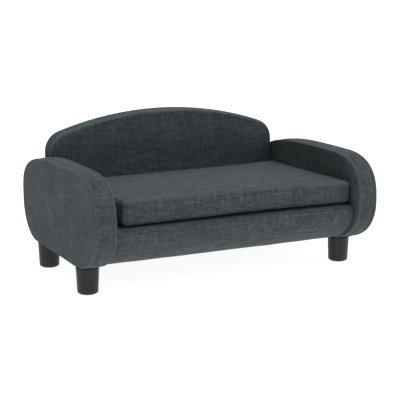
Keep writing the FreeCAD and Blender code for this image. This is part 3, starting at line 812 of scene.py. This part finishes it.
# ---------------- backrest
def build_back():
    low, high = span("back_front_cover", "back_rear_cover")
    front, rear = low.y, high.y
    place = Place("y")
    around = back_outline(PATH_STEP)
    rim = back_outline(PANEL_STEP)
    spine = (-0.24, 0.24, 0.195)
    cushion_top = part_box("cushion_top_cover")[1].z
    seam_y = front + BACK_ROLL

    def front_face(x, z, s):
        above = min(1.0, max(0.0, (z - cushion_top - 0.005) / 0.06))
        pillow = 0.0038 * (1 - math.exp(-max(s - 0.012, 0) / 0.035)) * above
        uneven = waviness(x, 3.0, z, 10, 0.0010) * min(1.0, s / 0.03) * above
        return front + roll(s, BACK_ROLL) - pillow + uneven

    def rear_face(x, z, s):
        uneven = waviness(x, 9.0, z, 9, 0.0012) * min(1.0, s / 0.03)
        return rear - roll(s, 0.0055) + 0.0008 * (1 - math.exp(-s / 0.04)) + uneven

    padding = padded_panel(
        "back_front_pad", rim, spine, front_face, place, seam_y + 0.0070, 31.0, 0.004)
    back = padded_panel("back_rear_side", rim, spine, rear_face, place, rear - 0.0013, 37.0)
    welts = (("front_welt", seam_y + 0.0002, 47.0), ("rear_welt", rear - WELT_EDGE, 49.0))
    band = sewn_edge("back_", around, seam_y + 0.0012, rear - BAND_EDGE, welts, place, 43.0)
    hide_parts("back_front_cover", "back_front_foam")
    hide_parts("back_rear_cover")
    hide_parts("back_band_cover", "back_edge_foam")


# ---------------- platform
def end_stations(half):
    """Positions along the platform, close together near its soft ends."""
    near = (0.0, 0.4, 1.0, 1.8, 2.8, 4.0, 5.5, 7.2, 9.0, 11.0, 13.5, 16.5, 20.0, 25.0, 32.0, 42.0)
    ends = [x * MM for x in near]
    inner = half - ends[-1]
    count = int(2 * inner / 0.011)
    stations = [-half + x for x in ends]
    stations += [-inner + 2 * inner * k / count for k in range(1, count)]
    stations += [half - x for x in reversed(ends)]
    return stations


def build_platform():
    """Padded cover over the deck and round the nose, with soft ends."""
    low, high = span("platform_cover")
    outline = platform_outline(0.0045)
    half = high.x - 0.0003
    edge = min(range(len(outline.points)), key=lambda i: math.dist(
        outline.points[i], (low.y, high.z)))
    rows = []
    wear_and_sheen = []
    for x in end_stations(half):
        reach = half - abs(x)
        outer_row = []
        inner_row = []
        for i, (y, z) in enumerate(outline.points):
            near_edge = bell((i - edge) * outline.step, 0.028)
            radius = NOSE_END_ROLL + (NOSE_END_ROLL_TOP - NOSE_END_ROLL) * near_edge
            drop = min(roll(reach, radius), SHELL - 0.0008) if reach < radius else 0.0
            nose = min(1.0, max(0.0, (i - edge + 4) * outline.step / 0.03))
            lip = min(1.0, (len(outline.points) - 1 - i) * outline.step / 0.03)
            soft = min(1.0, reach / 0.03) * nose * lip
            bulge = 0.0012 * soft + waviness(x, y, z, 12, 0.0013) * soft
            outer_row.append(Vector((x, *outline.inset(i, drop - bulge))))
            inner_row.append(Vector((x, *outline.inset(i, SHELL))))
        rows.append(outer_row + inner_row[::-1])
        # the cloth is painted lighter along the soft ends, where they roll into the arms
        wear_and_sheen.append([0.25 * bell(reach - 0.004, 0.004)] * len(outer_row) + [0.0] * len(inner_row))
    mesh = Mesh()
    count = len(outline.points)

    def cloth(r, c):
        c %= 2 * count
        along = c if c < count else 2 * count - 1 - c
        return rows[r][0].x, along * outline.step

    mesh.close_ends(mesh.grid(rows, cloth, False, True, wear_and_sheen), rows, cloth)
    pad = mesh.piece("platform_pad", "upholstery", offset=53.0)
    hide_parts("platform_cover", "platform_foam")


STAPLE_WIDTH = 0.0095
STAPLE_LEG = 0.0035
STAPLE_BEND = 0.0006
STAPLE_WIRE = 0.0004         # radius
RIB_BAY = 0.165              # spacing of the ribs
SHEET_SAG = 0.0030
SHEET_THICK = 0.0004


def staple(mesh, x, y, z, along):
    """Upholstery staple: a crown wire and two short legs that point up into the board."""
    half = along * (STAPLE_WIDTH / 2)
    bend = along * STAPLE_BEND
    left, right = Vector((x, y, z)) - half, Vector((x, y, z)) + half
    low, high = Vector((0.0, 0.0, STAPLE_BEND)), Vector((0.0, 0.0, STAPLE_LEG))
    path = [left + high, left + low, left + bend, right - bend, right + low, right + high]
    mesh.tube(path, STAPLE_WIRE, 5)


def build_dust_cover():
    """Black cloth that is stapled to the underside of the ribs and hangs a little between them."""
    low, high = span("dust_cover")
    edge = 0.001
    low_x, high_x = low.x + edge, high.x - edge
    low_y, high_y = low.y + edge, high.y - edge
    columns = 97
    lines = 45
    rows = []
    for r in range(lines):
        y = low_y + (high_y - low_y) * r / (lines - 1)
        top = []
        for c in range(columns):
            x = low_x + (high_x - low_x) * c / (columns - 1)
            across = 0.0 if abs(x) > 2 * RIB_BAY else abs(math.sin(math.pi * x / RIB_BAY)) ** 0.8
            inside = math.sin(math.pi * (y - low_y) / (high_y - low_y)) ** 0.6
            sag = SHEET_SAG * across * inside + abs(waviness(x, y, 2.0, 18, 0.0006)) * inside
            top.append(Vector((x, y, high.z - 0.0002 - sag)))
        rows.append(top + [point - Vector((0.0, 0.0, SHEET_THICK)) for point in reversed(top)])
    mesh = Mesh()

    def cloth(r, c):
        return rows[r][c % (2 * columns)][:2]

    mesh.close_ends(mesh.grid(rows, cloth, False, True), rows, cloth)
    sheet = mesh.piece("dust_sheet", "dust_cloth")
    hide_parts("dust_cover")
    staples = Mesh()
    level = high.z - 0.0012
    for rib in range(-2, 3):
        for k in range(6):
            y = low_y + 0.020 + k * (high_y - low_y - 0.040) / 5
            lean = Vector((draw.uniform(-0.15, 0.15), 1.0, 0.0)).normalized()
            staple(staples, rib * RIB_BAY, y, level, lean)
    for k in range(14):
        x = low_x + 0.02 + k * (high_x - low_x - 0.04) / 13
        lean = Vector((1.0, draw.uniform(-0.15, 0.15), 0.0)).normalized()
        staple(staples, x, high_y - 0.008, level, lean)
    pins = staples.piece("dust_sheet_staples", "zinc_steel")


# ---------------- cushion
VOXEL = 0.0045
PRESSURE = 4.0
FRAMES = 20
SEAM_HELD = 0.0042           # points this near to a seam are held
SWELL = 0.0045               # cap on how far the simulation may move a point
TOP_ROLL = 0.0052            # radius of its upper edge
BASE_ROLL = 0.012            # radius of its lower edge
CUSHION_INSET = 0.002        # the simulation starts from a shape this much smaller
FRONT_LIFT = (0.0155, -0.0040, -0.0080)    # worn shape of the top along its front edge
REAR_LIFT = (-0.0080, 0.0025, 0.0020)      # and along its rear edge
BASE_LIFT = 0.0050           # how far the front of its base stands off the platform
BASE_ARCH = 0.5              # added share of that in the middle
SIDE_ROOM = 0.0006           # how far it may swell towards the right arm
TOP_CLOTH, BASE_CLOTH, SIDE_CLOTH = 61.0, 67.0, 71.0    # where its panels lie in the cloth


class CushionShape:
    """Sizes of the cushion before it is inflated."""

    def __init__(self):
        low, high = span("cushion_base_cover", "cushion_top_cover")
        self.base = low.z
        self.top = high.z - 0.001
        self.half_x = (high.x - low.x) / 2
        self.middle_x = (high.x + low.x) / 2 - CUSHION_INSET
        self.half_y = (high.y - low.y) / 2 - CUSHION_INSET
        self.middle_y = (high.y + low.y) / 2
        self.limit_low, self.limit_high = low, high
        self.zip_low, self.zip_high = span("zip_tapes")
        self.corner = CUSHION_CORNER

    def outline(self, step):
        x, y, r = self.half_x - self.corner, self.half_y - self.corner, self.corner
        path = []
        for k, centre in enumerate(((x, y), (-x, y), (-x, -y), (x, -y))):
            path += arc(centre, (r, r), 90 * k, 90 * k + 90)
        return Outline(path, step)

    def nearest(self, x, y):
        """(depth inside the outline, nearest point on it), in the cushion's plane."""
        x -= self.middle_x
        y -= self.middle_y
        core_x, core_y = self.half_x - self.corner, self.half_y - self.corner
        over_x, over_y = abs(x) - core_x, abs(y) - core_y
        if over_x > 0 and over_y > 0:
            reach = math.hypot(over_x, over_y)
            near = (core_x + over_x / reach * self.corner, core_y + over_y / reach * self.corner)
            depth = self.corner - reach
        elif over_x > over_y:
            depth = self.corner - over_x
            near = (self.half_x, abs(y))
        else:
            depth = self.corner - over_y
            near = (abs(x), self.half_y)
        return depth, (
            math.copysign(near[0], x) + self.middle_x, math.copysign(near[1], y) + self.middle_y)

    def seams(self, point):
        """Depth, nearest edge point, and distances from the upper and from the lower seam.

        The seams lie in the middle of the rolled edges.
        """
        depth, near = self.nearest(point.x, point.y)
        high = TOP_ROLL * (1 - math.sqrt(0.5))
        low = BASE_ROLL * (1 - math.sqrt(0.5))
        upper = math.hypot(depth - high, self.top - high - point.z)
        lower = math.hypot(depth - low, point.z - self.base - low)
        return depth, near, upper, lower

    def lifted(self, point):
        """The point raised or lowered with the worn, uneven top."""
        share = min(1.0, max(0.0, (point.z - self.base) / (self.top - self.base)))
        u = (point.x - self.middle_x) / self.half_x
        forward = min(1.0, max(0.0, 0.5 - (point.y - self.middle_y) / self.half_y / 2))
        front, rear = (a + b * u + c * u * u for a, b, c in (FRONT_LIFT, REAR_LIFT))
        lift = rear + (front - rear) * forward
        arch = 1 + BASE_ARCH * bell(u - 0.1, 0.5)
        curl = bell(point.y - self.middle_y + self.half_y, 0.030) * BASE_LIFT * arch * (1 - share)
        return Vector((point.x, point.y, point.z + lift * share + curl))

    def run(self, near):
        """Length along the edge from the rear middle, for the cloth of the boxing."""
        x, y = near[0] - self.middle_x, near[1]
        core_x, core_y = self.half_x - self.corner, self.half_y - self.corner
        side = math.copysign(1.0, x) if x else 1.0
        v = y - self.middle_y
        quarter = math.pi / 2 * self.corner
        if abs(x) <= core_x and v > 0:
            return side * abs(x)
        if abs(x) > core_x and v > core_y:
            return side * (core_x + math.atan2(abs(x) - core_x, v - core_y) * self.corner)
        if abs(x) > core_x and v >= -core_y:
            return side * (core_x + quarter + core_y - v)
        if abs(x) > core_x:
            turn = math.atan2(-core_y - v, abs(x) - core_x)
            return side * (core_x + quarter + 2 * core_y + turn * self.corner)
        return side * (core_x + 2 * quarter + 2 * core_y + core_x - abs(x))


def cushion_blank(shape):
    """Closed box shape with rounded edges."""
    outline = shape.outline(0.005)
    angles = [math.pi / 2 * k / 6 for k in range(7)]
    levels = [(BASE_ROLL * (1 - math.sin(turn)), shape.base + BASE_ROLL * (1 - math.cos(turn)))
              for turn in angles]
    levels += [(TOP_ROLL * (1 - math.sin(turn)), shape.top - TOP_ROLL * (1 - math.cos(turn)))
               for turn in reversed(angles)]
    rows = []
    for depth, z in levels:
        ring = [outline.inset(i, depth) for i in range(len(outline.points))]
        rows.append([Vector((a + shape.middle_x, b + shape.middle_y, z)) for a, b in ring])
    mesh = Mesh()
    mesh.cap_ends(mesh.grid(rows, lambda r, c: (0.0, 0.0), False, True), rows)
    return mesh.piece("cushion_pad", "upholstery", body="cushion")


def evaluated(obj):
    """The object's mesh with its modifiers applied."""
    graph = bpy.context.evaluated_depsgraph_get()
    graph.update()
    return bpy.data.meshes.new_from_object(obj.evaluated_get(graph))


def swap_mesh(obj, mesh):
    old = obj.data
    obj.modifiers.clear()
    obj.data = mesh
    bpy.data.meshes.remove(old)


def remesh(obj):
    blocks = obj.modifiers.new("voxels", "REMESH")
    blocks.mode = "VOXEL"
    blocks.voxel_size = VOXEL
    blocks.use_smooth_shade = True
    swap_mesh(obj, evaluated(obj))
    for name in ("weave", "wear_and_sheen"):
        if name in obj.data.attributes:
            obj.data.attributes.remove(obj.data.attributes[name])


def inflate(obj, shape):
    """Cloth simulation under pressure, with the sewn seams held; the travel is capped at SWELL
    later, in settle.
    """
    rest = [v.co.copy() for v in obj.data.vertices]
    held = obj.vertex_groups.new(name="seams")
    pinned = [i for i, point in enumerate(rest) if min(shape.seams(point)[2:]) < SEAM_HELD]
    held.add(pinned, 1.0, "REPLACE")
    cloth = obj.modifiers.new("pressure", "CLOTH")
    for key, value in (
            ("quality", 4), ("mass", 0.25), ("tension_stiffness", 12),
            ("compression_stiffness", 12), ("shear_stiffness", 6), ("bending_stiffness", 0.8),
            ("use_pressure", True), ("uniform_pressure_force", PRESSURE),
            ("vertex_group_mass", "seams"), ("pin_stiffness", 1.0)):
        setattr(cloth.settings, key, value)
    cloth.settings.effector_weights.gravity = 0
    cloth.point_cache.frame_start = 1
    cloth.point_cache.frame_end = FRAMES
    scene = bpy.context.scene
    for frame_number in range(1, FRAMES + 1):
        scene.frame_set(frame_number)
    moved = evaluated(obj)
    places = [v.co.copy() for v in moved.vertices]
    bpy.data.meshes.remove(moved)
    obj.modifiers.clear()
    obj.vertex_groups.clear()
    scene.frame_set(1)
    return rest, places


def settle(shape, rest, place):
    """Limits a point's travel, and keeps it in the space between the arms, backrest and deck."""
    move = place - rest
    size = move.length
    if size > 1e-9:
        move *= SWELL * math.tanh(size / SWELL) / size
    x, y, z = rest + move
    x = max(shape.limit_low.x - SWELL, min(shape.limit_high.x + SIDE_ROOM, x))
    z = max(z, shape.base)
    y = max(y, shape.limit_low.y - 0.004)
    # the rear face stays in front of the zip, and may swell beside it
    zip_low, zip_high = shape.zip_low, shape.zip_high
    beside = max(0.0, x - zip_high.x, zip_low.x - x)
    beside += max(0.0, zip_low.z - 0.002 - z, z - zip_high.z - 0.002)
    y = min(y, shape.limit_high.y - 0.0003 + min(0.004, 0.35 * beside))
    return Vector((x, y, z))


def surface(obj):
    """Places and normals of all the points, read before any of them moves."""
    vertices = obj.data.vertices
    return [v.co.copy() for v in vertices], [v.normal.copy() for v in vertices]


def put(obj, places):
    obj.data.vertices.foreach_set("co", [x for place in places for x in place])
    obj.data.update()


def sew(obj, shape, rest):
    """Seam grooves, puckers and small creases, moved along the normals."""
    join = shape.middle_x + shape.corner - shape.half_x
    places = []
    for start, normal, place in zip(*surface(obj), rest):
        depth, near, upper, lower = shape.seams(place)
        distance = min(upper, lower)
        level = 1.0 if upper < lower else 2.0
        pucker = uneven_at(near[0] * 95, near[1] * 95, level * 7.3)
        fine = uneven_at(near[0] * 260, near[1] * 260, level * 3.9)
        move = -0.0016 * bell(distance, 0.0024) + 0.0006 * bell(distance - 0.0052, 0.0026)
        move += (0.0009 * pucker + 0.0004 * fine) * bell(distance - 0.006, 0.011)
        on_side = bell(depth - 0.001, 0.004)
        if near[1] < 0 and on_side > 0.01:
            seam = abs(near[0] - join)
            move += (-0.0016 * bell(seam, 0.0024) + 0.0007 * bell(seam - 0.005, 0.003)) * on_side
            ripple = uneven_at(place.z * 170, near[0] * 30, 1.7)
            move += 0.0011 * ripple * bell(seam, 0.013) * on_side
        slow = uneven_at(place.x * 9, place.y * 9, place.z * 9 + 4)
        crease = uneven_at(place.x * 26, place.y * 34, place.z * 30)
        move += 0.0011 * slow + 0.0004 * crease
        if lower > 0.004 and place.z < shape.base + 0.003:
            move = min(move, 0.0)
        moved = start + normal * move
        moved.z = max(moved.z, shape.base)
        places.append(moved)
    put(obj, places)


def cushion_weave(obj, shape, rest):
    """Cloth coordinates by panel: top and base lie in plan, the boxing runs round the edge."""
    mesh = obj.data
    values = []
    for face in mesh.polygons:
        middle = sum((rest[i] for i in face.vertices), Vector()) / len(face.vertices)
        depth, near = shape.nearest(middle.x, middle.y)
        if depth > shape.top - middle.z:
            panel = TOP_CLOTH
        elif depth > middle.z - shape.base:
            panel = BASE_CLOTH
        else:
            panel = SIDE_CLOTH
        start = shape.run(near)
        for i in face.vertices:
            place = rest[i]
            if panel != SIDE_CLOTH:
                values.extend((place.x, place.y, panel))
                continue
            along = shape.run(shape.nearest(place.x, place.y)[1])
            if abs(along - start) > 0.2:
                along = start
            values.extend((along, place.z, panel))
    # lighter along the upper seam only: worn cloth and a painted highlight on the top edge
    wear_and_sheen = [0.55 * bell(shape.seams(place)[2] - 0.004, 0.004) for place in rest]
    mesh.attributes.new("weave", "FLOAT_VECTOR", "CORNER").data.foreach_set("vector", values)
    mesh.attributes.new("wear_and_sheen", "FLOAT", "POINT").data.foreach_set("value", wear_and_sheen)


def build_cushion():
    shape = CushionShape()
    obj = cushion_blank(shape)
    remesh(obj)
    rest, places = inflate(obj, shape)
    put(obj, [settle(shape, before, after) for before, after in zip(rest, places)])
    memory = obj.data.attributes.new("rest", "FLOAT_VECTOR", "POINT")
    memory.data.foreach_set("vector", [x for point in rest for x in point])
    finer = obj.modifiers.new("finer", "SUBSURF")
    finer.levels = 1
    finer.render_levels = 1
    swap_mesh(obj, evaluated(obj))
    rest = [Vector(item.vector) for item in obj.data.attributes["rest"].data]
    obj.data.attributes.remove(obj.data.attributes["rest"])
    sew(obj, shape, rest)
    cushion_weave(obj, shape, rest)
    put(obj, [shape.lifted(vertex.co) for vertex in obj.data.vertices])
    obj.data.polygons.foreach_set("use_smooth", [True] * len(obj.data.polygons))
    obj.data.materials.clear()
    obj.data.materials.append(FABRIC)
    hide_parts("cushion_top_cover", "cushion_base_cover", "cushion_boxing", "cushion_foam")


# ---------------- zip
def build_zip():
    """Woven tapes with a stitched edge, and a row of coil teeth between them."""
    low, high = span("zip_tapes")
    chain_low, chain_high = span("zip_chain")
    middle = (low.z + high.z) / 2
    face = low.y
    tapes = Mesh()
    thick = high.y - low.y
    gap = (chain_high.z - chain_low.z) / 2 - 0.0009
    for sign in (-1, 1):
        rows = []
        columns = 121
        for c in range(columns):
            x = low.x + (high.x - low.x) * c / (columns - 1)
            outer_edge = (high.z - low.z) / 2 - 0.0002 + waviness(x, sign, 1.0, 60, 0.0003)
            ring = [(gap, 0.0001), (gap, thick), (gap + 0.0010, thick),
                    (outer_edge - 0.0016, thick * 0.9), (outer_edge - 0.0006, thick * 0.75),
                    (outer_edge, 0.0003), (outer_edge, 0.0001)]
            rows.append([Vector((x, face + depth, middle + sign * z)) for z, depth in ring])
        base = tapes.grid(rows, lambda r, c: (r * 0.004, c * 0.002), False, True)
        tapes.cap_ends(base, rows)
    tape = tapes.piece("zip_tape_pair", "zip_tape", body="cushion")
    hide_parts("zip_tapes")

    teeth = Mesh()
    pitch = 0.0016
    count = int((chain_high.x - chain_low.x - 0.002) / pitch)
    start = chain_low.x + 0.001 + pitch / 2
    depth_middle = (chain_low.y + chain_high.y) / 2
    reach = (chain_high.z - chain_low.z) / 2 - 0.0001
    rise = (chain_high.y - chain_low.y) / 2 - 0.0004
    for k in range(count):
        x = start + k * pitch
        sign = 1 if k % 2 else -1
        path = [Vector((x, depth_middle + rise * out, middle + sign * reach * up))
                for out, up in ((-0.6, 1.0), (0.5, 0.80), (1.0, 0.40), (1.0, -0.15), (0.4, -0.34))]
        teeth.tube(path, (0.00030, 0.00042, 0.00046, 0.00052, 0.00030), 6)
    row = teeth.piece("zip_teeth_row", "zip_teeth", body="cushion")
    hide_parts("zip_chain")


# ---------------- CAD nodes that stay
def paint_cad_nodes():
    """Gives every CAD node the procedural material of its slot."""
    slot_of = {part["node"]: part["material_slot"] for part in frame["record"]["subparts"]}
    for name, obj in frame["nodes"].items():
        material = SLOT_MATERIALS.get(slot_of[name], FABRIC)
        for holder in obj.material_slots:
            holder.material = material
        if not obj.material_slots:
            obj.data.materials.append(material)


# ---------------- stage
FLOOR_HALF = 45.0
FLOOR_CELLS = 12
LIGHT_TARGET = (0.0, 0.0, 0.2)
KEY_PLACE = (0.3, 0.7, 3.3)
KEY_SIZE = (3.2, 3.2)
KEY_POWER = 24.0
FRONT_PLACE = (1.2, -4.5, 1.3)
FRONT_SIZE = (3.5, 2.0)
FRONT_POWER = 15.0
CAMERA_PLACE = (-1.36843, -2.79747, 0.82886)
CAMERA_TARGET = (0.0279, 0.0327, 0.1690)
CAMERA_LENS = 105.25
SKY_LOW = 0.05
SKY_HIGH = 1.52
SKY_AXIS = (0.30, -0.10, 0.95)     # towards the brightest part of the studio
BACKDROP = 1.0


def aimed(obj, target):
    direction = Vector(target) - obj.location
    obj.rotation_euler = direction.to_track_quat("-Z", "Y").to_euler()


def add_light(name, place, size, power):
    data = bpy.data.lights.new(name, "AREA")
    data.shape = "RECTANGLE"
    data.size, data.size_y = size
    data.energy = power
    obj = linked(name, data)
    obj.location = place
    aimed(obj, LIGHT_TARGET)


def build_sky():
    """Studio that is brighter overhead, in front of an evenly white backdrop."""
    world = bpy.data.worlds.new("studio")
    bpy.context.scene.world = world
    world.use_nodes = True
    s = Nodes(world.node_tree)
    height = s.node("VectorMath", {0: s.node("TexCoord"), 1: SKY_AXIS},
                    out=1, operation="DOT_PRODUCT")
    level = s.node("MapRange", {"Value": height, "To Min": SKY_LOW, "To Max": SKY_HIGH})
    sky = s.tree.nodes["Background"]
    sky.inputs["Color"].default_value = (1.0, 1.0, 1.0, 1.0)
    s.tree.links.new(s.mix(s.node("LightPath"), level, BACKDROP), sky.inputs["Strength"])


def build_stage():
    steps = [FLOOR_HALF * (2 * k / FLOOR_CELLS - 1) for k in range(FLOOR_CELLS + 1)]
    level = cad_low.z - 0.0002
    mesh = Mesh()
    mesh.grid([[Vector((x, y, level)) for x in steps] for y in steps], lambda r, c: (0.0, 0.0))
    data = bpy.data.meshes.new("floor")
    data.from_pydata([tuple(p) for p in mesh.points], [], mesh.faces)
    data.materials.append(make_floor())
    floor = linked("floor", data)
    build_sky()
    add_light("key", KEY_PLACE, KEY_SIZE, KEY_POWER)
    add_light("front", FRONT_PLACE, FRONT_SIZE, FRONT_POWER)
    lens = bpy.data.cameras.new("camera")
    lens.lens = CAMERA_LENS
    lens.sensor_width = 36.0
    lens.clip_end = 200.0
    camera = linked("camera", lens)
    camera.location = CAMERA_PLACE
    aimed(camera, CAMERA_TARGET)
    bpy.context.scene.camera = camera
    bpy.context.scene.view_settings.view_transform = "Standard"


paint_cad_nodes()
build_arm("left", -1)
build_arm("right", 1)
build_back()
build_platform()
build_dust_cover()
build_cushion()
build_zip()
build_stage()
